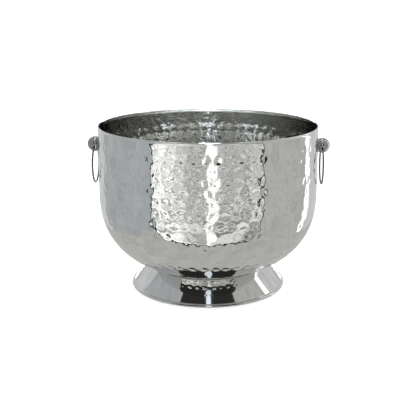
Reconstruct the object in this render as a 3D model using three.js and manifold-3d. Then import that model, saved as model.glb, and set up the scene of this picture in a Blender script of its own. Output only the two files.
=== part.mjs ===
// A hammered stainless-steel champagne bucket: a deep bowl on a flared foot, with a ball knob on each
// side and a loose ring hung through each knob. Millimetres, +Z up. The origin is on the ground on the
// bowl's axis, and the two handles are on the X axis.
import * as THREE from "three";
import { mergeVertices } from "three/addons/utils/BufferGeometryUtils.js";
import Module from "manifold-3d";

// Bowl: one sheet, whose side is nearly upright and curves in to a rounded bottom.
const RIM_HEIGHT = 272.5;
const RIM_RADIUS = 180;
const BELLY_SWELL = 0.8;
const BEND_HEIGHT = 166;
const BOTTOM_HEIGHT = 21.6;
const BOTTOM_POWER = 2.22;
const SIDE_POWER = 2.55;
const BOWL_SHEET = 1.2;
const RIM_BEAD = 2.4;

// Foot: a conical skirt with an inner flange under the bowl and a rolled hem on the ground.
const FOOT_RADIUS = 129.1;
const FOOT_SHEET = 1;
const HEM_BEAD = 4.8;
const HEM_STEP = 0.9;
const REST_WIDTH = 2.4;
const SEAM_RADIUS = 95;
const FLANGE_WIDTH = 10;
const CREST_RADIUS = 3;

// Knob: a ball with a flat back, bored across for the ring and from behind for its screw. The metal left
// between the two bores is the web.
const KNOB_DIAMETER = 25;
const KNOB_BELOW_RIM = 34.5;
const KNOB_STANDOFF = 7.5;
const RING_HOLE_DROP = 3.8;
const KNOB_WEB = 0.3;

// Ring: round wire, closed, hanging through the knob. Its diameter is across the wire's middle.
const RING_DIAMETER = 61.8;
const RING_WIRE = 3;

// Screw and washer: these hold the knob from inside the bowl.
const SCREW_SHANK = 3;
const SCREW_HEAD = 5.7;
const SCREW_HEAD_HEIGHT = 1.65;
const SOCKET_ACROSS = 2;
const SOCKET_DEPTH = 1;
const WASHER_DIAMETER = 12;
const WASHER_THICKNESS = 1;

// Clearances between pieces that touch or pass through each other.
const SEAT_GAP = 0.1;
const FLANGE_GAP = 0.25;
const THREAD_GAP = 0.12;
const SCREW_GAP = 0.35;
const RING_GAP = 0.8;

// Facets round each shape. The bowl and the foot share theirs, so their flat facets lie face to face,
// and the number divides by four, so one facet faces each handle.
const BOWL_FACETS = 64;
const BALL_FACETS = 24;
const HARDWARE_FACETS = 20;
const RING_STEPS = 48;

const bellyRadius = RIM_RADIUS + BELLY_SWELL;
const knobHeight = RIM_HEIGHT - KNOB_BELOW_RIM;

const wasm = await Module();
wasm.setup();

function point(radius, height) {
  return new THREE.Vector2(radius, height);
}

// Points on a circle in a profile, from one angle to the other, in degrees.
function arc(centre, radius, from, to, steps) {
  return Array.from({ length: steps + 1 }, (_, i) => {
    const angle = THREE.MathUtils.degToRad(from + ((to - from) * i) / steps);
    return point(centre.x + radius * Math.cos(angle), centre.y + radius * Math.sin(angle));
  });
}

// The path parallel to a profile, a distance to the left of its direction of travel.
function parallelPath(path, distance) {
  return path.map((here, i) => {
    const before = path[Math.max(i - 1, 0)];
    const after = path[Math.min(i + 1, path.length - 1)];
    const along = after.clone().sub(before).normalize();
    return point(here.x - along.y * distance, here.y + along.x * distance);
  });
}

// A round piece about the Z axis, with a facet rather than an edge facing along X and Y.
function turned(profile, facets) {
  return new THREE.LatheGeometry(profile, facets, Math.PI / facets).rotateX(Math.PI / 2);
}

// A round piece about the X axis, whose profile's heights become places along X.
function turnedAlongX(profile, facets) {
  return new THREE.LatheGeometry(profile, facets).rotateZ(-Math.PI / 2);
}

function solidOf(geometry) {
  const bare = geometry.clone();
  bare.deleteAttribute("normal");
  bare.deleteAttribute("uv");
  const merged = mergeVertices(bare);
  const vertProperties = merged.attributes.position.array;
  const triVerts = new Uint32Array(merged.index.array);
  return new wasm.Manifold(new wasm.Mesh({ numProp: 3, vertProperties, triVerts }));
}

function geometryOf(solid) {
  const mesh = solid.getMesh();
  const geometry = new THREE.BufferGeometry();
  geometry.setAttribute("position", new THREE.BufferAttribute(mesh.vertProperties, 3));
  geometry.setIndex(new THREE.BufferAttribute(mesh.triVerts, 1));
  geometry.computeVertexNormals();
  return geometry;
}

function cylinderAlongX(radius, fromX, toX, facets) {
  const cylinder = new THREE.CylinderGeometry(radius, radius, toX - fromX, facets);
  return cylinder.rotateZ(Math.PI / 2).translate((fromX + toX) / 2, 0, 0);
}

// The outside of the bowl's curved part, from its bottom on the axis up to where the side begins.
// Turning runs from 0 at the bottom to 1 at the side.
function bowlCurve(turning) {
  const angle = ((1 - turning) * Math.PI) / 2;
  const radius = bellyRadius * Math.max(Math.cos(angle), 0) ** (2 / BOTTOM_POWER);
  const depth = (BEND_HEIGHT - BOTTOM_HEIGHT) * Math.sin(angle) ** (2 / SIDE_POWER);
  return point(turning === 0 ? 0 : radius, BEND_HEIGHT - depth);
}

// The height of the bowl's underside at a radius.
function undersideHeight(radius) {
  const share = 1 - (radius / bellyRadius) ** BOTTOM_POWER;
  return BEND_HEIGHT - (BEND_HEIGHT - BOTTOM_HEIGHT) * share ** (1 / SIDE_POWER);
}

// The bowl's outside radius at a height on its straight side.
function sideRadius(height) {
  const share = (height - BEND_HEIGHT) / (RIM_HEIGHT - BEND_HEIGHT);
  return bellyRadius + (RIM_RADIUS - bellyRadius) * share;
}

function bowlGeometry() {
  const beadCentre = point(RIM_RADIUS - BOWL_SHEET / 2, RIM_HEIGHT - RIM_BEAD / 2);
  const halfMouth = THREE.MathUtils.radToDeg(Math.asin(BOWL_SHEET / RIM_BEAD));
  const bead = arc(beadCentre, RIM_BEAD / 2, halfMouth - 90, 270 - halfMouth, 10);
  const curveSteps = 15;
  const outside = Array.from({ length: curveSteps + 1 }, (_, i) => bowlCurve(i / curveSteps));
  outside.push(bead[0]);
  const inside = parallelPath(outside, BOWL_SHEET);
  inside[0].x = 0;
  inside.pop();
  const sheet = solidOf(turned([...outside, ...bead.slice(1), ...inside.reverse()], BOWL_FACETS));
  const reach = bellyRadius + BOWL_SHEET;
  const holeRadius = SCREW_SHANK / 2 + SCREW_GAP;
  const holes = cylinderAlongX(holeRadius, -reach, reach, HARDWARE_FACETS).translate(0, 0, knobHeight);
  return geometryOf(sheet.subtract(solidOf(holes)));
}

function footGeometry() {
  const beadRadius = HEM_BEAD / 2;
  const halfRest = REST_WIDTH / 2;
  const beadCentre = point(FOOT_RADIUS - beadRadius, Math.sqrt(beadRadius ** 2 - halfRest ** 2));
  const restAngle = THREE.MathUtils.radToDeg(Math.asin(halfRest / beadRadius));

  // The flange follows the bowl out to the seam, where the sheet turns down round the crest.
  const underBowl = (radius) => point(radius, undersideHeight(radius) - FLANGE_GAP);
  const flangeSteps = 3;
  const flange = Array.from({ length: flangeSteps + 1 }, (_, i) =>
    underBowl(SEAM_RADIUS - FLANGE_WIDTH * (1 - i / flangeSteps)),
  );
  const climb = underBowl(SEAM_RADIUS + 1).sub(underBowl(SEAM_RADIUS - 1)).angle();
  const intoSheet = point(Math.sin(climb), -Math.cos(climb));
  const crestCentre = underBowl(SEAM_RADIUS).addScaledVector(intoSheet, CREST_RADIUS);

  // The skirt runs straight from the crest to the inner side of the bead. Its face, carried on, would pass
  // HEM_STEP below the bead's middle, so the bead stands proud of it.
  const toBead = beadCentre.clone().sub(crestCentre);
  const steeper = Math.asin((CREST_RADIUS + HEM_STEP) / toBead.length());
  const fall = THREE.MathUtils.radToDeg(Math.atan2(-toBead.y, toBead.x) + steeper);
  const crest = arc(crestCentre, CREST_RADIUS, 90 + THREE.MathUtils.radToDeg(climb), 90 - fall, 6);
  const meetingAngle = (step) => 180 - fall + THREE.MathUtils.radToDeg(Math.asin(step / beadRadius));
  const beadOutside = arc(beadCentre, beadRadius, meetingAngle(HEM_STEP), restAngle - 90, 9);
  const beadInside = arc(beadCentre, beadRadius, 270 - restAngle, meetingAngle(HEM_STEP + FOOT_SHEET), 4);

  const top = [...flange, ...crest.slice(1), beadOutside[0]];
  const underneath = parallelPath(top, -FOOT_SHEET);
  underneath.pop();
  const profile = [...top, ...beadOutside.slice(1), ...beadInside, ...underneath.reverse(), top[0]];
  return turned(profile.reverse(), BOWL_FACETS);
}

// Places along X, outwards from the bowl's axis, at the handles' height.
const knobRadius = KNOB_DIAMETER / 2;
const sideRadii = (reach) => [sideRadius(knobHeight - reach), sideRadius(knobHeight + reach)];
const knobBack = Math.max(...sideRadii(knobRadius)) + SEAT_GAP;
const knobCentre = knobBack + KNOB_STANDOFF;
const innerRadius = Math.min(...sideRadii(WASHER_DIAMETER / 2)) - BOWL_SHEET;
const innerFlat = innerRadius * Math.cos(Math.PI / BOWL_FACETS);
const washerOuter = Math.sqrt(innerFlat ** 2 - (WASHER_DIAMETER / 2) ** 2) - SEAT_GAP;
const headSeat = washerOuter - WASHER_THICKNESS - SEAT_GAP;

// The ring's wire arches through the knob's straight hole, as far above the hole's axis at its middle as
// below it at the mouths, and the hole is wide enough for that arch.
const ringRadius = RING_DIAMETER / 2;
const halfMouths = Math.sqrt(knobRadius ** 2 - RING_HOLE_DROP ** 2);
const archRise = (ringRadius - Math.sqrt(ringRadius ** 2 - halfMouths ** 2)) / 2;
const ringHoleRadius = archRise + RING_WIRE / 2 + RING_GAP;
const tappedEnd = knobCentre - ringHoleRadius - KNOB_WEB;
const screwTip = tappedEnd - SCREW_GAP;

function knobGeometry() {
  const sphere = new THREE.SphereGeometry(knobRadius, BALL_FACETS, (BALL_FACETS * 2) / 3);
  const ball = solidOf(sphere.rotateZ(Math.PI / 2).translate(knobCentre, 0, 0));
  const behind = cylinderAlongX(KNOB_DIAMETER, knobBack - KNOB_DIAMETER, knobBack, HARDWARE_FACETS);
  const tappedRadius = SCREW_SHANK / 2 + THREAD_GAP;
  const tapped = cylinderAlongX(tappedRadius, knobBack - SEAT_GAP, tappedEnd, HARDWARE_FACETS);
  const across = new THREE.CylinderGeometry(ringHoleRadius, ringHoleRadius, 2 * KNOB_DIAMETER, BALL_FACETS);
  across.translate(knobCentre, 0, -RING_HOLE_DROP);
  const cuts = [behind, tapped, across].map(solidOf);
  return geometryOf(cuts.reduce((left, cut) => left.subtract(cut), ball));
}

function ringGeometry() {
  const torus = new THREE.TorusGeometry(ringRadius, RING_WIRE / 2, 8, RING_STEPS);
  const centreHeight = archRise - RING_HOLE_DROP - ringRadius;
  return torus.rotateY(Math.PI / 2).translate(knobCentre, 0, centreHeight);
}

function washerGeometry() {
  const hole = SCREW_SHANK / 2 + SCREW_GAP;
  const inner = washerOuter - WASHER_THICKNESS;
  const profile = [
    point(hole, inner),
    point(WASHER_DIAMETER / 2, inner),
    point(WASHER_DIAMETER / 2, washerOuter),
    point(hole, washerOuter),
    point(hole, inner),
  ];
  return turnedAlongX(profile, HARDWARE_FACETS);
}

// A button-head screw with a hexagon socket.
function screwGeometry() {
  const headRadius = SCREW_HEAD / 2;
  const crownRadius = (headRadius ** 2 + SCREW_HEAD_HEIGHT ** 2) / (2 * SCREW_HEAD_HEIGHT);
  const crownTop = headSeat - SCREW_HEAD_HEIGHT;
  const crownCentre = point(0, crownTop + crownRadius);
  const crownEdge = THREE.MathUtils.radToDeg(Math.asin(headRadius / crownRadius));
  const crown = arc(crownCentre, crownRadius, -90, crownEdge - 90, 5);
  crown[0].x = 0;
  const shank = [
    point(SCREW_SHANK / 2, headSeat),
    point(SCREW_SHANK / 2, screwTip),
    point(0, screwTip),
  ];
  const body = solidOf(turnedAlongX([...crown, ...shank], HARDWARE_FACETS));
  const socketRadius = SOCKET_ACROSS / Math.sqrt(3);
  const socket = cylinderAlongX(socketRadius, crownTop - 1, crownTop + SOCKET_DEPTH, 6);
  return geometryOf(body.subtract(solidOf(socket)));
}

function piece(name, geometry, material) {
  const mesh = new THREE.Mesh(geometry, material);
  mesh.name = name;
  return mesh;
}

function steel(colour, roughness) {
  return new THREE.MeshStandardMaterial({ color: colour, roughness, metalness: 1 });
}

const hammeredSteel = steel("#c9c9c4", 0.12);
const polishedSteel = steel("#c6c7c5", 0.08);
const wireSteel = steel("#b9babb", 0.15);
const fastenerSteel = steel("#a9abac", 0.3);

// One handle: its pieces are set out along +X, then the group is turned to its side of the bowl.
function handle(side, turn) {
  const group = new THREE.Group();
  group.position.z = knobHeight;
  group.rotation.z = turn;
  group.add(
    piece("knob_" + side, knobGeometry(), polishedSteel),
    piece("ring_" + side, ringGeometry(), wireSteel),
    piece("knob_washer_" + side, washerGeometry(), fastenerSteel),
    piece("knob_screw_" + side, screwGeometry(), fastenerSteel),
  );
  return group;
}

const bucket = new THREE.Group();
bucket.name = "champagne_bucket";
bucket.add(piece("bowl", bowlGeometry(), hammeredSteel));
bucket.add(piece("foot", footGeometry(), polishedSteel));
bucket.add(handle("right", 0), handle("left", Math.PI));

export default bucket;
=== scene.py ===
# A hammered stainless-steel champagne bucket on a spun foot, with a ball knob and a drop ring on each side.
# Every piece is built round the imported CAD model, in its frame and at its size, in metres.
import math

import bpy
import numpy as np
from mathutils import Matrix, Vector, kdtree


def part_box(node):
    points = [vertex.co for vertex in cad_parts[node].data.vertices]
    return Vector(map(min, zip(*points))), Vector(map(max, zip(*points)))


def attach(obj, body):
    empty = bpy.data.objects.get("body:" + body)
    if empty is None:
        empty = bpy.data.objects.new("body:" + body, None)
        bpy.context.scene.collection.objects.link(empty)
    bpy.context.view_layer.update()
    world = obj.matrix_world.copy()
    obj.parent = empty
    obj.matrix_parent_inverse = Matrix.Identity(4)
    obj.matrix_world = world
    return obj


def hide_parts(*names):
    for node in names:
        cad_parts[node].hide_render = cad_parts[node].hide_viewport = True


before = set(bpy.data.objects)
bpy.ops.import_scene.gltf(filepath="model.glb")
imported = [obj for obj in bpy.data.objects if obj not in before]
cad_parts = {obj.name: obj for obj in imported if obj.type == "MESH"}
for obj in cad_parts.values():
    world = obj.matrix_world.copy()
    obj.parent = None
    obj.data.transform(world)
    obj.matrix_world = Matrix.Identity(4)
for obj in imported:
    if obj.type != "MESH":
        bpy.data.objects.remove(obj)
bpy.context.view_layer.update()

# ---------------------------------------------------------------- bowl
# The bowl is one stainless sheet, spun to shape and beaded at the rim. A round-faced hammer has gone over
# it in level rows, from just under the rim to the foot, so the marks show outside and, pushed through,
# inside as well.
MM = 0.001
CAD_FACETS = 64
BOWL_SHEET = 1.2 * MM
RIM_BEAD = 2.4 * MM
BELLY_SWELL = 0.8 * MM
BEND_HEIGHT = 166 * MM
BOTTOM_POWER = 2.22
SIDE_POWER = 2.55
BOTTOM_POINTS = 4000
SIDE_POINTS = 400
BEAD_STEPS = 14
BOWL_STEPS = 420
MERGE_DISTANCE = 0.01 * MM
OUTSIDE_STEP = 2.75 * MM
INSIDE_STEP = 3.6 * MM
HIDDEN_RADIUS = 74 * MM
HIDDEN_STEP = 9 * MM
MARK_PITCH = 17.7 * MM
ROW_PITCH = 16.8 * MM
FIRST_ROW_BELOW_RIM = 23.5 * MM
MARK_RADIUS = 7.8 * MM
MARK_DEPTH = 0.49 * MM
CURVED_HEIGHT = 95 * MM
CURVED_SHARE = 1.9
MARK_SEED = 11
TURN_JITTER = 0.12
ROW_JITTER = 1 * MM
DEPTH_SPREAD = (0.7, 1.3)
WIDTH_SPREAD = (0.85, 1.2)
MARKS_IN_REACH = 5
KNOB_BELOW_RIM = 34.5 * MM
KNOB_SEAT_RADIUS = 12 * MM
SEAT_FADE_RATE = 2.5
BOWL_COLOUR = "#DFDFDC"
HAZE_WIDTH = 22 * MM
RIPPLE_WIDTH = 7 * MM
RIPPLE_HEIGHT = 0.3 * MM

bowl_low, bowl_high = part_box("bowl")
facet_flat = math.cos(math.pi / CAD_FACETS)
belly_radius = bowl_high.x / facet_flat
rim_radius = belly_radius - BELLY_SWELL
rim_height = bowl_high.z
bottom_height = bowl_low.z
bottom_depth = BEND_HEIGHT - bottom_height
knob_height = rim_height - KNOB_BELOW_RIM


def outline_length():
    """The bowl's outside from the bottom's middle to the bead: radii, heights and the length along them."""
    turning = np.linspace(0, 1, BOTTOM_POINTS)
    angle = (1 - turning) * math.pi / 2
    radius = belly_radius * np.cos(angle).clip(0) ** (2 / BOTTOM_POWER)
    height = BEND_HEIGHT - bottom_depth * np.sin(angle) ** (2 / SIDE_POWER)
    bead_foot = rim_height - RIM_BEAD / 2 - RIM_BEAD / 2 * math.cos(math.asin(BOWL_SHEET / RIM_BEAD))
    side_height = np.linspace(BEND_HEIGHT, bead_foot, SIDE_POINTS)[1:]
    share = (side_height - BEND_HEIGHT) / (rim_height - BEND_HEIGHT)
    side_radius = belly_radius - BELLY_SWELL * share
    radius = np.concatenate([radius, side_radius])
    height = np.concatenate([height, side_height])
    length = np.concatenate([[0], np.cumsum(np.hypot(np.diff(radius), np.diff(height)))])
    return radius, height, length


outline_radius, outline_height, outline_run = outline_length()
outline_end = outline_run[-1]


def outline_place(run):
    """The radius and height at a length along the outline."""
    return np.interp(run, outline_run, outline_radius), np.interp(run, outline_run, outline_height)


def outward(radius, height):
    """The direction out of the bowl's wall, as its shares along the radius and the height."""
    across = np.minimum(radius, belly_radius) / belly_radius
    below = np.clip(BEND_HEIGHT - height, 0, bottom_depth) / bottom_depth
    along = BOTTOM_POWER * across ** (BOTTOM_POWER - 1) / belly_radius
    down = SIDE_POWER * below ** (SIDE_POWER - 1) / bottom_depth
    size = np.hypot(along, down)
    return along / size, -down / size


def arc(centre, radius, start, end, steps):
    """Points on a circle from one angle to the other, in degrees."""
    angles = np.radians(np.linspace(start, end, steps + 1))
    return [(centre[0] + radius * math.cos(a), centre[1] + radius * math.sin(a)) for a in angles]


def bowl_profile():
    """Up the outside from the bottom's middle, round the bead and down the inside, as (radius, height)."""
    hidden_run = np.interp(HIDDEN_RADIUS, outline_radius[:BOTTOM_POINTS], outline_run[:BOTTOM_POINTS])
    shown = outline_end - hidden_run
    outside_runs = np.concatenate([
        np.linspace(0, hidden_run, round(hidden_run / HIDDEN_STEP), endpoint=False),
        np.linspace(hidden_run, outline_end, round(shown / OUTSIDE_STEP) + 1),
    ])
    inside_runs = np.concatenate([
        np.linspace(0, hidden_run, round(hidden_run / HIDDEN_STEP), endpoint=False),
        np.linspace(hidden_run, outline_end, round(shown / INSIDE_STEP), endpoint=False),
    ])
    outside = list(zip(*outline_place(outside_runs)))
    bead_centre = (rim_radius - BOWL_SHEET / 2, rim_height - RIM_BEAD / 2)
    half_mouth = math.degrees(math.asin(BOWL_SHEET / RIM_BEAD))
    bead = arc(bead_centre, RIM_BEAD / 2, half_mouth - 90, 270 - half_mouth, BEAD_STEPS)
    inside = []
    for run in inside_runs[::-1]:
        radius, height = outline_place(run)
        out_along, out_up = outward(radius, height)
        inside.append((max(radius - BOWL_SHEET * out_along, 0), height - BOWL_SHEET * out_up))
    return outside + bead[1:] + inside


def deselect_all():
    if bpy.context.object and bpy.context.object.mode != "OBJECT":
        bpy.ops.object.mode_set(mode="OBJECT")
    bpy.ops.object.select_all(action="DESELECT")


def spin_profile(name, profile, steps):
    """Extrudes a line through the profile's points and spins it once round the Z axis."""
    deselect_all()
    bpy.ops.mesh.primitive_plane_add(size=MM)
    piece = bpy.context.object
    piece.name = name
    bpy.ops.object.mode_set(mode="EDIT")
    bpy.ops.mesh.select_all(action="SELECT")
    bpy.ops.mesh.merge(type="CENTER")
    bpy.ops.transform.translate(value=(profile[0][0], 0, profile[0][1]))
    for before, here in zip(profile, profile[1:]):
        step = (here[0] - before[0], 0, here[1] - before[1])
        bpy.ops.mesh.extrude_region_move(TRANSFORM_OT_translate={"value": step})
    bpy.ops.mesh.select_all(action="SELECT")
    bpy.ops.mesh.spin(steps=steps, angle=math.tau, center=(0, 0, 0), axis=(0, 0, 1))
    bpy.ops.mesh.select_all(action="SELECT")
    bpy.ops.mesh.remove_doubles(threshold=MERGE_DISTANCE)
    bpy.ops.mesh.normals_make_consistent(inside=False)
    bpy.ops.object.mode_set(mode="OBJECT")
    bpy.ops.object.shade_smooth()
    return piece


def hammer_marks():
    """The middle of each mark on the outside, with its radius and depth."""
    rng = np.random.default_rng(MARK_SEED)
    marks = []
    run = outline_end - FIRST_ROW_BELOW_RIM
    while outline_place(run)[0] > HIDDEN_RADIUS:
        radius = outline_place(run)[0]
        count = round(math.tau * radius / MARK_PITCH)
        start = rng.uniform(0, math.tau)
        for i in range(count):
            turn = start + math.tau * (i + rng.uniform(-TURN_JITTER, TURN_JITTER)) / count
            mark_radius, mark_height = outline_place(run + rng.uniform(-1, 1) * ROW_JITTER)
            place = Vector((mark_radius * math.cos(turn), mark_radius * math.sin(turn), mark_height))
            depth = MARK_DEPTH * rng.uniform(*DEPTH_SPREAD)
            if mark_height < CURVED_HEIGHT:
                depth *= CURVED_SHARE
            marks.append((place, MARK_RADIUS * rng.uniform(*WIDTH_SPREAD), depth))
        run -= ROW_PITCH
    return marks


def hammer(bowl):
    """Sinks every vertex by the round-bottomed marks over it, which fade out round the knob seats."""
    marks = hammer_marks()
    tree = kdtree.KDTree(len(marks))
    for i, (place, _, _) in enumerate(marks):
        tree.insert(place, i)
    tree.balance()
    for vertex in bowl.data.vertices:
        spot = vertex.co.copy()
        radius = math.hypot(spot.x, spot.y)
        if radius < HIDDEN_RADIUS / 2 or spot.z > rim_height - RIM_BEAD:
            continue
        sunk = 0
        for _, i, distance in tree.find_n(spot, MARKS_IN_REACH):
            _, mark_radius, depth = marks[i]
            sunk += depth * (1 + math.cos(math.pi * min(distance / mark_radius, 1))) / 2
        from_knob = math.hypot(spot.y, spot.z - knob_height) / KNOB_SEAT_RADIUS
        sunk *= min(max(from_knob - 1, 0) * SEAT_FADE_RATE, 1)
        out_along, out_up = outward(radius, spot.z)
        way_in = Vector((-out_along * spot.x / radius, -out_along * spot.y / radius, -out_up))
        vertex.co = spot + way_in * sunk


bowl = spin_profile("hammered_bowl", bowl_profile(), BOWL_STEPS)
hammer(bowl)


def linear(hex_colour):
    """An sRGB hex colour as linear RGBA."""
    parts = [int(hex_colour[i : i + 2], 16) / 255 for i in (1, 3, 5)]
    return tuple(p / 12.92 if p <= 0.04045 else ((p + 0.055) / 1.055) ** 2.4 for p in parts) + (1.0,)


def add_node(tree, kind, inputs=None, **settings):
    """Adds a node, sets its properties, and sets or links its inputs."""
    node = tree.nodes.new(kind)
    for name, value in settings.items():
        setattr(node, name, value)
    for key, value in (inputs or {}).items():
        if isinstance(value, bpy.types.NodeSocket):
            tree.links.new(value, node.inputs[key])
        else:
            node.inputs[key].default_value = value
    return node


def new_material(name):
    material = bpy.data.materials.new(name)
    material.use_nodes = True
    tree = material.node_tree
    return material, tree, tree.nodes["Principled BSDF"]


def hammered_stainless():
    """18/8 stainless sheet, hammered and then mirror-polished: clear reflections with a slight polishing
    haze, and the fine ripple that the hammer's face leaves inside each mark."""
    material, tree, shader = new_material("hammered_mirror_polished_stainless")
    shader.inputs["Base Color"].default_value = linear(BOWL_COLOUR)
    shader.inputs["Metallic"].default_value = 1.0
    place = add_node(tree, "ShaderNodeTexCoord").outputs["Object"]
    haze = add_node(tree, "ShaderNodeTexNoise", {"Vector": place, "Scale": 1 / HAZE_WIDTH, "Detail": 3.0})
    roughness = add_node(tree, "ShaderNodeMapRange", {"Value": haze.outputs["Fac"], "From Min": 0.35,
                         "From Max": 0.7, "To Min": 0.03, "To Max": 0.07})
    tree.links.new(roughness.outputs["Result"], shader.inputs["Roughness"])
    ripple = add_node(tree, "ShaderNodeTexNoise", {"Vector": place, "Scale": 1 / RIPPLE_WIDTH, "Detail": 0.6})
    bump = add_node(tree, "ShaderNodeBump", {"Height": ripple.outputs["Fac"], "Strength": 1.0,
                    "Distance": RIPPLE_HEIGHT})
    tree.links.new(bump.outputs["Normal"], shader.inputs["Normal"])
    return material


bowl.data.materials.append(hammered_stainless())
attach(bowl, "bucket")
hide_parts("bowl")

# ---------------------------------------------------------------- foot
# The foot is a cone spun from thinner stainless sheet and left smooth. Its top is turned in to a flange
# that is brazed under the bowl, and its lower edge is rolled outwards into a hem.
FOOT_SHEET = 1 * MM
HEM_BEAD = 4.8 * MM
HEM_STEP = 0.9 * MM
REST_WIDTH = 2.4 * MM
SEAM_RADIUS = 95 * MM
FLANGE_WIDTH = 10 * MM
FLANGE_GAP = 0.25 * MM
CREST_RADIUS = 3 * MM
FLANGE_POINTS = 6
CREST_STEPS = 10
SKIRT_POINTS = 24
HEM_OUTSIDE_STEPS = 18
HEM_INSIDE_STEPS = 8
FOOT_STEPS = 256
FOOT_COLOUR = "#DADAD8"
BUFF_CLOUD = 30 * MM
SPIN_RING_PITCH = 7.9 * MM
SPIN_RING_HEIGHT = 0.004 * MM
WAVE_RADIANS = 20

_, foot_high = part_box("foot")
foot_radius = foot_high.x / facet_flat


def under_bowl(radius):
    """The point at a radius, a brazing gap below the bowl's outside."""
    share = 1 - (radius / belly_radius) ** BOTTOM_POWER
    return np.array((radius, BEND_HEIGHT - bottom_depth * share ** (1 / SIDE_POWER) - FLANGE_GAP))


def parallel_path(path, distance):
    """The path beside another, a distance to the right of its direction of travel."""
    path = np.array(path)
    along = np.gradient(path, axis=0)
    along /= np.hypot(along[:, 0], along[:, 1])[:, None]
    return path + distance * np.column_stack([along[:, 1], -along[:, 0]])


def foot_profile():
    """Out along the flange, over the crest, down the skirt, round the hem and back up underneath."""
    bead_radius = HEM_BEAD / 2
    half_rest = REST_WIDTH / 2
    bead_centre = np.array((foot_radius - bead_radius, math.sqrt(bead_radius**2 - half_rest**2)))
    rest_angle = math.degrees(math.asin(half_rest / bead_radius))
    flange = [under_bowl(r) for r in np.linspace(SEAM_RADIUS - FLANGE_WIDTH, SEAM_RADIUS, FLANGE_POINTS)]
    rise = under_bowl(SEAM_RADIUS + MM) - under_bowl(SEAM_RADIUS - MM)
    climb = math.atan2(rise[1], rise[0])
    crest_centre = under_bowl(SEAM_RADIUS) + CREST_RADIUS * np.array((math.sin(climb), -math.cos(climb)))
    to_bead = bead_centre - crest_centre
    steeper = math.asin((CREST_RADIUS + HEM_STEP) / np.hypot(*to_bead))
    fall = math.degrees(math.atan2(-to_bead[1], to_bead[0]) + steeper)
    crest = arc(crest_centre, CREST_RADIUS, 90 + math.degrees(climb), 90 - fall, CREST_STEPS)
    outside_meets = 180 - fall + math.degrees(math.asin(HEM_STEP / bead_radius))
    inside_meets = 180 - fall + math.degrees(math.asin((HEM_STEP + FOOT_SHEET) / bead_radius))
    bead_outside = arc(bead_centre, bead_radius, outside_meets, rest_angle - 90, HEM_OUTSIDE_STEPS)
    bead_inside = arc(bead_centre, bead_radius, 270 - rest_angle, inside_meets, HEM_INSIDE_STEPS)
    skirt = [tuple(p) for p in np.linspace(crest[-1], bead_outside[0], SKIRT_POINTS)]
    top = [tuple(p) for p in flange] + crest[1:] + skirt[1:]
    underneath = [tuple(p) for p in parallel_path(top, FOOT_SHEET)[:-1]]
    return top + bead_outside[1:] + bead_inside + underneath[::-1] + top[:1]


def spun_stainless():
    """Plain stainless spun over a chuck and buffed to a mirror: smooth, with a slight cloud left by the buff
    and the faint rings of the spinning tool, drawn wider apart than real ones, so that they show."""
    material, tree, shader = new_material("spun_mirror_polished_stainless")
    shader.inputs["Base Color"].default_value = linear(FOOT_COLOUR)
    shader.inputs["Metallic"].default_value = 1.0
    place = add_node(tree, "ShaderNodeTexCoord").outputs["Object"]
    cloud = add_node(tree, "ShaderNodeTexNoise", {"Vector": place, "Scale": 1 / BUFF_CLOUD, "Detail": 4.0})
    roughness = add_node(tree, "ShaderNodeMapRange", {"Value": cloud.outputs["Fac"], "From Min": 0.35,
                         "From Max": 0.7, "To Min": 0.03, "To Max": 0.08})
    tree.links.new(roughness.outputs["Result"], shader.inputs["Roughness"])
    # The wave node turns through WAVE_RADIANS for each unit of distance times scale.
    ring_scale = math.tau / WAVE_RADIANS / SPIN_RING_PITCH
    rings = add_node(tree, "ShaderNodeTexWave", {"Vector": place, "Scale": ring_scale, "Distortion": 0.4,
                     "Detail": 1.0, "Detail Scale": 0.5}, wave_type="RINGS", rings_direction="Z")
    bump = add_node(tree, "ShaderNodeBump", {"Height": rings.outputs["Fac"], "Strength": 1.0,
                    "Distance": SPIN_RING_HEIGHT})
    tree.links.new(bump.outputs["Normal"], shader.inputs["Normal"])
    return material


foot = spin_profile("spun_foot", foot_profile(), FOOT_STEPS)
foot.data.materials.append(spun_stainless())
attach(foot, "bucket")
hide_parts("foot")

# ---------------------------------------------------------------- knobs
# A knob is a turned stainless ball with a flat back, bored across below its middle for the ring and tapped
# from behind. A screw inside the bowl pulls its flat back against the wall.
KNOB_DIAMETER = 25 * MM
RING_HOLE_DROP = 3.8 * MM
RING_DIAMETER = 61.8 * MM
RING_WIRE = 3 * MM
RING_GAP = 0.8 * MM
KNOB_WEB = 0.3 * MM
TAPPED_RADIUS = 1.62 * MM
MOUTH_ROUND = 0.45 * MM
MOUTH_SEGMENTS = 3
MOUTH_EDGE_ANGLE = 38
KNOB_FACETS = 72
KNOB_SMOOTH_ANGLE = 40
BORE_SIDES = 48
SLIVER = 0.002 * MM
KNOB_COLOUR = "#A7A8A7"
KNOB_CLOUD = 6 * MM
KNOB_SCUFF = 1.2 * MM
KNOB_SCUFF_HEIGHT = 0.01 * MM

knob_low, knob_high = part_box("knob_right")
knob_radius = KNOB_DIAMETER / 2
knob_back = knob_low.x
knob_centre = knob_high.x - knob_radius
ring_radius = RING_DIAMETER / 2
half_mouths = math.sqrt(knob_radius**2 - RING_HOLE_DROP**2)
arch_rise = (ring_radius - math.sqrt(ring_radius**2 - half_mouths**2)) / 2
ring_hole_radius = arch_rise + RING_WIRE / 2 + RING_GAP
along_x = (0, math.pi / 2, 0)
along_y = (math.pi / 2, 0, 0)


def apply_modifier(piece, kind, **settings):
    bpy.context.view_layer.objects.active = piece
    modifier = piece.modifiers.new(kind.lower(), kind)
    for name, value in settings.items():
        setattr(modifier, name, value)
    bpy.ops.object.modifier_apply(modifier=modifier.name)


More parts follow.
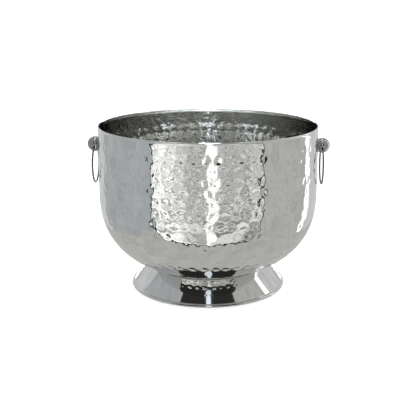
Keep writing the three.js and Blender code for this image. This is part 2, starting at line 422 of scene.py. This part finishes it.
def bore(piece, radius, depth, middle, axis_turn, sides=BORE_SIDES):
    """Cuts a straight hole, round or with a few flat sides, with its middle at a point."""
    deselect_all()
    bpy.ops.mesh.primitive_cylinder_add(vertices=sides, radius=radius, depth=depth, location=middle,
                                        rotation=axis_turn)
    cutter = bpy.context.object
    apply_modifier(piece, "BOOLEAN", operation="DIFFERENCE", object=cutter, solver="EXACT")
    bpy.data.objects.remove(cutter)
    bpy.ops.object.mode_set(mode="EDIT")
    bpy.ops.mesh.select_all(action="SELECT")
    bpy.ops.mesh.dissolve_degenerate(threshold=SLIVER)
    bpy.ops.object.mode_set(mode="OBJECT")


def other_side(piece, name):
    """A copy of a handle's piece, turned half round the bowl."""
    deselect_all()
    piece.select_set(True)
    bpy.context.view_layer.objects.active = piece
    bpy.ops.object.duplicate()
    copy = bpy.context.object
    copy.name = name
    bpy.ops.object.mode_set(mode="EDIT")
    bpy.ops.mesh.select_all(action="SELECT")
    bpy.ops.transform.rotate(value=math.pi, orient_axis="Z", center_override=(0, 0, 0))
    bpy.ops.object.mode_set(mode="OBJECT")
    return copy


def smooth_by_angle(piece, degrees):
    deselect_all()
    piece.select_set(True)
    bpy.context.view_layer.objects.active = piece
    bpy.ops.object.shade_smooth_by_angle(angle=math.radians(degrees))


def turned_knob():
    deselect_all()
    bpy.ops.mesh.primitive_uv_sphere_add(segments=KNOB_FACETS, ring_count=KNOB_FACETS // 2,
                                         radius=knob_radius, location=(knob_centre, 0, knob_height),
                                         rotation=along_x)
    piece = bpy.context.object
    piece.name = "turned_knob_right"
    bpy.ops.object.transform_apply(location=True, rotation=True, scale=True)
    bpy.ops.object.mode_set(mode="EDIT")
    bpy.ops.mesh.select_all(action="SELECT")
    bpy.ops.mesh.bisect(plane_co=(knob_back, 0, knob_height), plane_no=(1, 0, 0), clear_inner=True,
                        use_fill=True)
    bpy.ops.object.mode_set(mode="OBJECT")
    hole_middle = (knob_centre, 0, knob_height - RING_HOLE_DROP)
    bore(piece, ring_hole_radius, 2 * KNOB_DIAMETER, hole_middle, along_y)
    tapped_end = knob_centre - ring_hole_radius - KNOB_WEB
    tapped_depth = 2 * (tapped_end - knob_back)
    bore(piece, TAPPED_RADIUS, tapped_depth, (knob_back, 0, knob_height), along_x)
    apply_modifier(piece, "BEVEL", width=MOUTH_ROUND, segments=MOUTH_SEGMENTS, limit_method="ANGLE",
                   angle_limit=math.radians(MOUTH_EDGE_ANGLE))
    smooth_by_angle(piece, KNOB_SMOOTH_ANGLE)
    return piece


def turned_stainless():
    """Stainless turned from bar and buffed: a mirror a little darker than the sheet, with faint scuffs about
    a millimetre across and small clouds where the buff has dragged."""
    material, tree, shader = new_material("turned_buffed_stainless")
    shader.inputs["Base Color"].default_value = linear(KNOB_COLOUR)
    shader.inputs["Metallic"].default_value = 1.0
    place = add_node(tree, "ShaderNodeTexCoord").outputs["Object"]
    cloud = add_node(tree, "ShaderNodeTexNoise", {"Vector": place, "Scale": 1 / KNOB_CLOUD, "Detail": 3.0})
    roughness = add_node(tree, "ShaderNodeMapRange", {"Value": cloud.outputs["Fac"], "From Min": 0.35,
                         "From Max": 0.7, "To Min": 0.06, "To Max": 0.14})
    tree.links.new(roughness.outputs["Result"], shader.inputs["Roughness"])
    scuffs = add_node(tree, "ShaderNodeTexNoise", {"Vector": place, "Scale": 1 / KNOB_SCUFF, "Detail": 1.0})
    bump = add_node(tree, "ShaderNodeBump", {"Height": scuffs.outputs["Fac"], "Strength": 1.0,
                    "Distance": KNOB_SCUFF_HEIGHT})
    tree.links.new(bump.outputs["Normal"], shader.inputs["Normal"])
    return material


knob = turned_knob()
knob.data.materials.append(turned_stainless())
knobs = {"right": knob, "left": other_side(knob, "turned_knob_left")}
for side, piece in knobs.items():
    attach(piece, "bucket")
    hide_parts("knob_" + side)

# ---------------------------------------------------------------- drop rings
# A ring is round stainless wire, bent to a circle through its knob and butt-brazed, with a slight swelling
# left where the joint was dressed off. It hangs loose and swings in the knob's hole.
WIRE_SIDES = 20
RING_STEPS = 144
JOINT_BEARING = 38
JOINT_HALF = 3
JOINT_SWELL = 0.12 * MM
WIRE_COLOUR = "#7C7B7A"
WIRE_CLOUD = 5 * MM
DRAWN_LINE = 2 * MM
DRAWN_LINE_STRETCH = 8.0
DRAWN_LINE_HEIGHT = 0.01 * MM

ring_height = knob_height - RING_HOLE_DROP + arch_rise - ring_radius


def drop_ring():
    deselect_all()
    bpy.ops.mesh.primitive_circle_add(vertices=WIRE_SIDES, radius=RING_WIRE / 2, rotation=along_y,
                                      location=(knob_centre, 0, ring_height + ring_radius))
    piece = bpy.context.object
    piece.name = "drop_ring_right"
    bpy.ops.object.transform_apply(location=True, rotation=True, scale=True)
    bpy.ops.object.mode_set(mode="EDIT")
    bpy.ops.mesh.select_all(action="SELECT")
    bpy.ops.mesh.spin(steps=RING_STEPS, angle=math.tau, center=(knob_centre, 0, ring_height), axis=(1, 0, 0))
    bpy.ops.mesh.select_all(action="SELECT")
    bpy.ops.mesh.remove_doubles(threshold=MERGE_DISTANCE)
    bpy.ops.mesh.normals_make_consistent(inside=False)
    bpy.ops.mesh.select_all(action="DESELECT")
    bpy.ops.object.mode_set(mode="OBJECT")
    for vertex in piece.data.vertices:
        bearing = math.degrees(math.atan2(vertex.co.y, vertex.co.z - ring_height))
        vertex.select = abs(bearing - JOINT_BEARING) < JOINT_HALF
    bpy.ops.object.mode_set(mode="EDIT")
    bpy.ops.transform.shrink_fatten(value=JOINT_SWELL)
    bpy.ops.object.mode_set(mode="OBJECT")
    bpy.ops.object.shade_smooth()
    return piece


def drawn_wire():
    """Stainless wire, bright-drawn and tumbled: darker than the buffed sheet, because the drawing lines along
    it scatter part of the light. The lines are drawn coarser than real ones, so that they show."""
    material, tree, shader = new_material("bright_drawn_stainless_wire")
    shader.inputs["Base Color"].default_value = linear(WIRE_COLOUR)
    shader.inputs["Metallic"].default_value = 1.0
    place = add_node(tree, "ShaderNodeTexCoord").outputs["Object"]
    cloud = add_node(tree, "ShaderNodeTexNoise", {"Vector": place, "Scale": 1 / WIRE_CLOUD, "Detail": 2.0})
    roughness = add_node(tree, "ShaderNodeMapRange", {"Value": cloud.outputs["Fac"], "From Min": 0.35,
                         "From Max": 0.7, "To Min": 0.1, "To Max": 0.2})
    tree.links.new(roughness.outputs["Result"], shader.inputs["Roughness"])
    lines = add_node(tree, "ShaderNodeMapping", {"Vector": place, "Scale": (DRAWN_LINE_STRETCH, 1.0, 1.0)})
    grain = add_node(tree, "ShaderNodeTexNoise", {"Vector": lines.outputs["Vector"], "Scale": 1 / DRAWN_LINE,
                     "Detail": 2.0})
    bump = add_node(tree, "ShaderNodeBump", {"Height": grain.outputs["Fac"], "Strength": 1.0,
                    "Distance": DRAWN_LINE_HEIGHT})
    tree.links.new(bump.outputs["Normal"], shader.inputs["Normal"])
    return material


ring = drop_ring()
ring.data.materials.append(drawn_wire())
rings = {"right": ring, "left": other_side(ring, "drop_ring_left")}
for side, piece in rings.items():
    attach(piece, side + "_handle")
    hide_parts("ring_" + side)

# ---------------------------------------------------------------- screws and washers
# Inside the bowl, a button-head M3 screw on a plain washer holds each knob. Both are bought stainless
# fasteners, the screw cold-headed and the washer stamped, and left satin.
SCREW_SHANK = 3 * MM
SCREW_HEAD = 5.7 * MM
SCREW_HEAD_HEIGHT = 1.65 * MM
SOCKET_ACROSS = 2 * MM
SOCKET_DEPTH = 1 * MM
WASHER_HOLE = 1.85 * MM
WASHER_CHAMFER = 0.2 * MM
THREAD_PITCH = 0.5 * MM
THREAD_DEPTH = 0.25 * MM
CROWN_STEPS = 10
OVERCUT = 1 * MM
FASTENER_STEPS = 48
FASTENER_SMOOTH_ANGLE = 30
FASTENER_COLOUR = "#9DA0A1"
SPECKLE_WIDTH = 0.6 * MM
SPECKLE_HEIGHT = 0.01 * MM


def lay_along_x(piece, start):
    """Turns a piece made about the Z axis to lie along X at the knobs' height."""
    turned = Matrix.Rotation(math.pi / 2, 4, "Y")
    piece.data.transform(Matrix.Translation((start, 0, knob_height)) @ turned)


def washer():
    low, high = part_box("knob_washer_right")
    outer, thick = high.y, high.x - low.x
    cut = WASHER_CHAMFER
    profile = [(WASHER_HOLE, 0), (outer - cut, 0), (outer, cut), (outer, thick - cut), (outer - cut, thick),
               (WASHER_HOLE, thick), (WASHER_HOLE, 0)]
    piece = spin_profile("plain_washer_right", profile, FASTENER_STEPS)
    lay_along_x(piece, low.x)
    smooth_by_angle(piece, FASTENER_SMOOTH_ANGLE)
    return piece


def screw():
    low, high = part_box("knob_screw_right")
    head_radius = SCREW_HEAD / 2
    length = high.x - low.x
    crown_radius = (head_radius**2 + SCREW_HEAD_HEIGHT**2) / (2 * SCREW_HEAD_HEIGHT)
    crown_edge = math.degrees(math.asin(head_radius / crown_radius))
    crown = arc((0, crown_radius), crown_radius, -90, crown_edge - 90, CROWN_STEPS)
    crown[0] = (0, crown[0][1])
    profile = crown + [(SCREW_SHANK / 2, SCREW_HEAD_HEIGHT)]
    turns = int((length - SCREW_HEAD_HEIGHT - THREAD_PITCH) / THREAD_PITCH)
    for i in range(turns):
        start = SCREW_HEAD_HEIGHT + THREAD_PITCH * (i + 0.5)
        profile += [(SCREW_SHANK / 2, start), (SCREW_SHANK / 2 - THREAD_DEPTH, start + THREAD_PITCH / 2)]
    profile += [(SCREW_SHANK / 2 - THREAD_DEPTH, length), (0, length)]
    piece = spin_profile("button_screw_right", profile, FASTENER_STEPS)
    lay_along_x(piece, low.x)
    socket_middle = (low.x + (SOCKET_DEPTH - OVERCUT) / 2, 0, knob_height)
    bore(piece, SOCKET_ACROSS / math.sqrt(3), SOCKET_DEPTH + OVERCUT, socket_middle, along_x, sides=6)
    smooth_by_angle(piece, FASTENER_SMOOTH_ANGLE)
    return piece


def satin_stainless():
    """Stainless fastener stock, tumbled to a satin: a soft sheen with small speckles and scuffs."""
    material, tree, shader = new_material("satin_stainless_fastener")
    shader.inputs["Base Color"].default_value = linear(FASTENER_COLOUR)
    shader.inputs["Metallic"].default_value = 1.0
    place = add_node(tree, "ShaderNodeTexCoord").outputs["Object"]
    speckle = add_node(tree, "ShaderNodeTexNoise", {"Vector": place, "Scale": 1 / SPECKLE_WIDTH,
                       "Detail": 2.0})
    roughness = add_node(tree, "ShaderNodeMapRange", {"Value": speckle.outputs["Fac"], "From Min": 0.3,
                         "From Max": 0.7, "To Min": 0.2, "To Max": 0.38})
    tree.links.new(roughness.outputs["Result"], shader.inputs["Roughness"])
    bump = add_node(tree, "ShaderNodeBump", {"Height": speckle.outputs["Fac"], "Strength": 1.0,
                    "Distance": SPECKLE_HEIGHT})
    tree.links.new(bump.outputs["Normal"], shader.inputs["Normal"])
    return material


fastener_finish = satin_stainless()
for node, piece in (("knob_washer_", washer()), ("knob_screw_", screw())):
    piece.data.materials.append(fastener_finish)
    pair = {"right": piece, "left": other_side(piece, piece.name.replace("right", "left"))}
    for side, fastener in pair.items():
        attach(fastener, "bucket")
        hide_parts(node + side)

# ---------------------------------------------------------------- stage
# A white floor, and round the bucket a tent that only the steel sees: grey cloth on the table and along the
# front of its sides, white cloth round the back, a bright slot and lamps overhead, a light streak at the
# right, and an opening in front, through which the steel reflects the room's bright floor and a tall window.
CAMERA_TURN = 2.35
CAMERA_DISTANCE = 1330.3 * MM
CAMERA_HEIGHT = 482.3 * MM
AIM_HEIGHT = 129.1 * MM
CAMERA_LENS = 70.56
TENT_FRONT = -280 * MM
TENT_TOP = 700 * MM
TENT_BACK = 370 * MM
OPENING_LEFT = -270 * MM
OPENING_RIGHT = 255 * MM
OPENING_TOP = 420 * MM
LEFT_WALL = -300 * MM
RIGHT_WALL = 315 * MM
RIGHT_WALL_END = -8 * MM
RIGHT_STREAK = 42 * MM
LEFT_WALL_END = 60 * MM
FRAME_WIDTH = 19 * MM
FRONT_EDGE = 12 * MM
SLOT_LEFT = -22 * MM
SLOT_WIDTH = 55 * MM
CARD_GAP = 1 * MM
CLOTH_LAP = 200 * MM
BACK_LAP = 300 * MM
LAMP_COLUMNS = (-210 * MM, 150 * MM)
LAMP_ROWS = (-200 * MM, 20 * MM, 240 * MM)
LAMP_SIZE = 70 * MM
ROOM = 4000 * MM
WINDOW_LEFT = -160 * MM
WINDOW_FRONT = -2500 * MM
WINDOW_SILL = 350 * MM
WINDOW_WIDTH = 420 * MM
WINDOW_HEIGHT = 4000 * MM
FOLD_WIDTH = 45 * MM
FOLD_SHADE = 0.12
SIGHT_FRONT = -180 * MM
SIGHT_LEFT = -1.85
SIGHT_RIGHT = 2.15
CLOUD_SHIFT = 0.3
BRIGHTEST = 2.5
FLOOR_CLOUD = 142.86 * MM
PATCH_WIDTH = 200 * MM
PATCH_STRETCH = 2.4
PATCH_DARK = 1.05
PATCH_BRIGHT = 3.6
FLOOR_SIZE = 40000 * MM
FLOOR_COLOUR = "#F7F7F7"
FLOOR_GLOW = 0.42
SKY_STRENGTH = 1.2
SKY_REFLECTED = 0.03
SENSOR_WIDTH = 36

stage_turn = Matrix.Rotation(math.radians(CAMERA_TURN), 4, "Z")


def glow(name, colour, strength):
    """A surface that only gives light, the same all over."""
    material = bpy.data.materials.new(name)
    material.use_nodes = True
    tree = material.node_tree
    tree.nodes.clear()
    light = add_node(tree, "ShaderNodeEmission", {"Color": colour, "Strength": strength})
    add_node(tree, "ShaderNodeOutputMaterial", {"Surface": light.outputs["Emission"]})
    return material


def cloth_glow(name, colour, strength):
    """Cloth lit from behind, a little uneven from its folds."""
    material = glow(name, colour, strength)
    tree = material.node_tree
    place = add_node(tree, "ShaderNodeTexCoord").outputs["Object"]
    folds = add_node(tree, "ShaderNodeTexNoise", {"Vector": place, "Scale": 1 / FOLD_WIDTH, "Detail": 2.0})
    level = add_node(tree, "ShaderNodeMapRange", {"Value": folds.outputs["Fac"], "From Min": 0.3,
                     "From Max": 0.7, "To Min": strength * (1 - FOLD_SHADE),
                     "To Max": strength * (1 + FOLD_SHADE)})
    tree.links.new(level.outputs["Result"], tree.nodes["Emission"].inputs["Strength"])
    return material


def card(name, corner, side, rise, material):
    """A flat card that only reflections see, from a corner and its two edges."""
    deselect_all()
    bpy.ops.mesh.primitive_plane_add(size=1)
    made = bpy.context.object
    made.name = name
    corner, side, rise = Vector(corner), Vector(side), Vector(rise)
    for vertex in made.data.vertices:
        across, up = vertex.co.x + 0.5, vertex.co.y + 0.5
        vertex.co = corner + side * across + rise * up
    made.data.transform(stage_turn)
    made.data.materials.append(material)
    made.visible_camera = False
    made.visible_diffuse = False
    made.visible_shadow = False


def room_floor_glow():
    """The bright floor in front of the tent, as it fans out ahead of the bowl: a white band to the left, a
    white streak a little to the right of straight ahead, and cloudy grey between and beyond them."""
    material = bpy.data.materials.new("bright_room_floor")
    material.use_nodes = True
    tree = material.node_tree
    tree.nodes.clear()
    place = add_node(tree, "ShaderNodeTexCoord").outputs["Object"]
    axes = add_node(tree, "ShaderNodeSeparateXYZ", {"Vector": place})
    ahead = add_node(tree, "ShaderNodeMath", {0: SIGHT_FRONT, 1: axes.outputs["Y"]}, operation="SUBTRACT")
    bearing = add_node(tree, "ShaderNodeMath", {0: axes.outputs["X"], 1: ahead.outputs[0]},
                       operation="DIVIDE")
    cloud = add_node(tree, "ShaderNodeTexNoise", {"Vector": place, "Scale": 1 / FLOOR_CLOUD, "Detail": 4.0,
                     "Roughness": 0.6})
    shaky = add_node(tree, "ShaderNodeMath", {0: cloud.outputs["Fac"], 1: CLOUD_SHIFT,
                     2: bearing.outputs[0]}, operation="MULTIPLY_ADD")
    spread = add_node(tree, "ShaderNodeMapRange", {"Value": shaky.outputs[0], "From Min": SIGHT_LEFT,
                      "From Max": SIGHT_RIGHT})
    ramp = add_node(tree, "ShaderNodeValToRGB", {"Fac": spread.outputs["Result"]})
    stops = [(0.0, 1.2), (0.2, 1.25), (0.33, 1.1), (0.38, 0.78), (0.45, 0.62), (0.505, 0.66), (0.515, 1.8),
             (0.55, 1.6), (0.56, 0.68), (0.66, 0.62), (0.8, 0.72), (1.0, 0.75)]
    while len(ramp.color_ramp.elements) < len(stops):
        ramp.color_ramp.elements.new(0.5)
    for element, (where, level) in zip(ramp.color_ramp.elements, stops):
        element.position = where
        element.color = (level / BRIGHTEST, level / BRIGHTEST, level / BRIGHTEST, 1)
    stretched = add_node(tree, "ShaderNodeMapping", {"Vector": place, "Scale": (1.0, PATCH_STRETCH, 1.0)})
    patches = add_node(tree, "ShaderNodeTexNoise", {"Vector": stretched.outputs["Vector"],
                       "Scale": 1 / PATCH_WIDTH, "Detail": 3.0})
    uneven = add_node(tree, "ShaderNodeMapRange", {"Value": patches.outputs["Fac"], "From Min": 0.4,
                      "From Max": 0.6, "To Min": PATCH_DARK, "To Max": PATCH_BRIGHT})
    light = add_node(tree, "ShaderNodeEmission", {"Color": ramp.outputs["Color"],
                     "Strength": uneven.outputs["Result"]})
    add_node(tree, "ShaderNodeOutputMaterial", {"Surface": light.outputs["Emission"]})
    return material


grey_cloth = cloth_glow("grey_cloth", linear("#FFFFFC"), 0.53)
blue_cloth = cloth_glow("cool_cloth", linear("#F6FBFF"), 0.51)
white_cloth = cloth_glow("white_cloth", linear("#FAFCFF"), 0.7)
top_cloth = glow("top_cloth", linear("#FFFDF8"), 0.5)
slot_light = glow("slot_light", linear("#E4EEFF"), 9.0)
lamp_light = glow("lamp_light", linear("#FFFFFF"), 5.5)
dark_edge = glow("dark_edge", linear("#181818"), 1.0)
strip_light = glow("strip_light", linear("#FFFFFF"), 1.7)
window_light = cloth_glow("window_light", linear("#E6F0FF"), 1.4)

table_depth = TENT_BACK - TENT_FRONT
wall_width = RIGHT_WALL - LEFT_WALL
opening_width = OPENING_RIGHT - OPENING_LEFT
right_light_start = RIGHT_WALL_END + RIGHT_STREAK
tent_height = (0, 0, TENT_TOP)
opening_height = (0, 0, OPENING_TOP)
above_opening = (0, 0, TENT_TOP - OPENING_TOP)
card("table_cloth", (LEFT_WALL - CLOTH_LAP, TENT_FRONT, -CARD_GAP), (wall_width + 2 * CLOTH_LAP, 0, 0),
     (0, table_depth, 0), grey_cloth)
card("left_cloth", (LEFT_WALL, TENT_FRONT, -CARD_GAP), (0, LEFT_WALL_END - TENT_FRONT, 0), tent_height,
     blue_cloth)
card("left_light", (LEFT_WALL, LEFT_WALL_END, -CARD_GAP), (0, TENT_BACK - LEFT_WALL_END, 0), tent_height,
     white_cloth)
card("right_cloth", (RIGHT_WALL, TENT_FRONT, -CARD_GAP), (0, RIGHT_WALL_END - TENT_FRONT, 0), tent_height,
     grey_cloth)
card("right_streak", (RIGHT_WALL, RIGHT_WALL_END, -CARD_GAP), (0, RIGHT_STREAK, 0), tent_height,
     strip_light)
card("right_light", (RIGHT_WALL, right_light_start, -CARD_GAP), (0, TENT_BACK - right_light_start, 0),
     tent_height, white_cloth)
card("back_cloth", (LEFT_WALL - CLOTH_LAP, TENT_BACK, -CARD_GAP), (wall_width + CLOTH_LAP + BACK_LAP, 0, 0),
     tent_height, white_cloth)
card("top_cloth", (LEFT_WALL - CLOTH_LAP, TENT_FRONT, TENT_TOP), (wall_width + CLOTH_LAP + BACK_LAP, 0, 0),
     (0, table_depth, 0), top_cloth)
card("top_slot", (SLOT_LEFT, TENT_FRONT, TENT_TOP - CARD_GAP), (SLOT_WIDTH, 0, 0), (0, table_depth, 0),
     slot_light)
for lamp_x in LAMP_COLUMNS:
    for lamp_y in LAMP_ROWS:
        card("top_lamp", (lamp_x, lamp_y, TENT_TOP - CARD_GAP), (LAMP_SIZE, 0, 0), (0, LAMP_SIZE, 0),
             lamp_light)
card("front_slot", (SLOT_LEFT, TENT_FRONT + CARD_GAP, OPENING_TOP), (SLOT_WIDTH, 0, 0), above_opening,
     slot_light)
card("back_slot", (SLOT_LEFT, TENT_BACK - CARD_GAP, 0), (SLOT_WIDTH, 0, 0), tent_height, slot_light)
card("front_left_cloth", (LEFT_WALL, TENT_FRONT, 0), (OPENING_LEFT - LEFT_WALL, 0, 0), tent_height,
     blue_cloth)
card("front_right_cloth", (OPENING_RIGHT, TENT_FRONT, 0), (RIGHT_WALL - OPENING_RIGHT, 0, 0), tent_height,
     grey_cloth)
card("front_top_cloth", (OPENING_LEFT, TENT_FRONT, OPENING_TOP), (opening_width, 0, 0), above_opening,
     top_cloth)
card("left_edge", (OPENING_LEFT - FRAME_WIDTH, TENT_FRONT + CARD_GAP, 0), (FRAME_WIDTH, 0, 0),
     opening_height, dark_edge)
card("right_edge", (OPENING_RIGHT, TENT_FRONT + CARD_GAP, 0), (FRAME_WIDTH, 0, 0), opening_height,
     dark_edge)
card("front_edge", (OPENING_LEFT, TENT_FRONT, 0), (opening_width, 0, 0), (0, FRONT_EDGE, 0), dark_edge)
card("room_floor", (-ROOM, -ROOM, -2 * CARD_GAP), (2 * ROOM, 0, 0), (0, ROOM + TENT_FRONT, 0),
     room_floor_glow())
card("window_card", (WINDOW_LEFT, WINDOW_FRONT, WINDOW_SILL), (WINDOW_WIDTH, 0, 0), (0, 0, WINDOW_HEIGHT),
     window_light)

deselect_all()
bpy.ops.mesh.primitive_plane_add(size=FLOOR_SIZE)
floor = bpy.context.object
floor.name = "floor"
floor_material, _, floor_shader = new_material("white_sweep")
floor_shader.inputs["Base Color"].default_value = linear(FLOOR_COLOUR)
floor_shader.inputs["Roughness"].default_value = 0.9
floor_shader.inputs["Emission Color"].default_value = (1, 1, 1, 1)
floor_shader.inputs["Emission Strength"].default_value = FLOOR_GLOW
floor.data.materials.append(floor_material)
floor.visible_glossy = False

world = bpy.data.worlds.new("studio")
bpy.context.scene.world = world
world.use_nodes = True
world_tree = world.node_tree
world_tree.nodes.clear()
rays = add_node(world_tree, "ShaderNodeLightPath")
level = add_node(world_tree, "ShaderNodeMapRange", {"Value": rays.outputs["Is Glossy Ray"],
                 "To Min": SKY_STRENGTH, "To Max": SKY_REFLECTED})
sky = add_node(world_tree, "ShaderNodeBackground", {"Color": (1, 1, 1, 1),
               "Strength": level.outputs["Result"]})
add_node(world_tree, "ShaderNodeOutputWorld", {"Surface": sky.outputs["Background"]})

camera_data = bpy.data.cameras.new("camera")
camera_data.lens = CAMERA_LENS
camera_data.sensor_width = SENSOR_WIDTH
camera = bpy.data.objects.new("camera", camera_data)
bpy.context.scene.collection.objects.link(camera)
turn = math.radians(CAMERA_TURN)
camera.location = (CAMERA_DISTANCE * math.sin(turn), -CAMERA_DISTANCE * math.cos(turn), CAMERA_HEIGHT)
aim = Vector((0, 0, AIM_HEIGHT)) - camera.location
camera.rotation_euler = aim.to_track_quat("-Z", "Y").to_euler()
bpy.context.scene.camera = camera
bpy.context.scene.view_settings.view_transform = "Standard"
bpy.context.scene.cycles.glossy_bounces = 12
